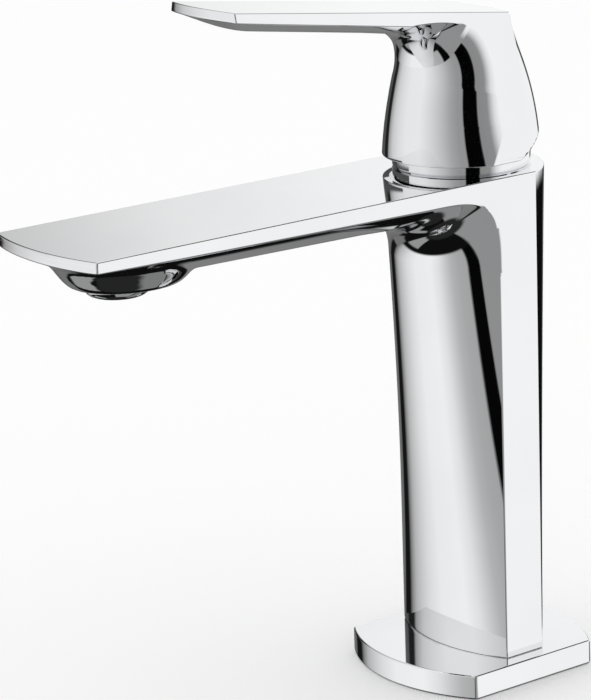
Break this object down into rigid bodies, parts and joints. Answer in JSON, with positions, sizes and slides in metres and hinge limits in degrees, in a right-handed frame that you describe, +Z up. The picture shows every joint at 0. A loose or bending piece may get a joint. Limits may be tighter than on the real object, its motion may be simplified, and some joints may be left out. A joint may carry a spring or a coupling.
{
  "type": "bathroom mixer faucet",
  "caption": "Single-lever basin mixer with a flat-topped inverted-L body on a base plate, ceramic cartridge, tilting lever handle and screw-in aerator.",
  "frame": {"origin": "centre of the tap hole on the deck's upper face, under the base plate, on the cartridge and handle axis", "axes": "+Z up along the column, -Y along the spout and lever towards the user, +X to the user's right as seen facing +Y"},
  "size_m": [0.057, 0.1789, 0.2087],
  "materials": {
    "chrome": "polished chrome plate on cast brass",
    "brass": "machined brass",
    "rubber": "matte black rubber",
    "steel": "machined stainless steel",
    "cartridge_plastic": "moulded pale grey plastic",
    "dark_plastic": "moulded dark grey plastic",
    "ceramic": null
  },
  "bodies": {
    "faucet": {"base_plate": "chrome", "base_gasket": "rubber", "body": "chrome", "cartridge_base": "cartridge_plastic", "port_seals": "rubber", "disc_seal": "rubber", "fixed_disc": "ceramic", "cartridge_housing": "cartridge_plastic", "cartridge_nut": "brass", "trim_ring": "chrome", "neck_oring": "rubber", "glide_ring": "cartridge_plastic", "aerator_housing": "chrome", "aerator_washer": "rubber", "aerator_insert": "cartridge_plastic", "aerator_screen": "steel"},
    "turret": {"turret": "dark_plastic", "spindle_pin": "steel"},
    "lever": {"spindle": "steel", "handle_insert": "dark_plastic", "handle": "chrome", "grub_screw": "steel", "screw_cap": "chrome"},
    "slider": {"moving_disc": "ceramic", "disc_carrier": "dark_plastic"}
  },
  "joints": [
    {"name": "mix", "type": "hinge", "parent": "faucet", "child": "turret", "pos_m": [0, 0, 0.1446], "axis": [0, 0, 1], "range_deg": [-50, 50]},
    {"name": "lift", "type": "hinge", "parent": "turret", "child": "lever", "pos_m": [0, 0, 0.1446], "axis": [-1, 0, 0], "range_deg": [0, 25]},
    {"name": "disc_shift", "type": "slide", "parent": "turret", "child": "slider", "axis": [0, -1, 0], "range_m": [0, 0.0041]}
  ],
  "couplings": [
    {"joint": "disc_shift", "follows": "lift", "m_per_rad": 0.0092982}
  ]
}
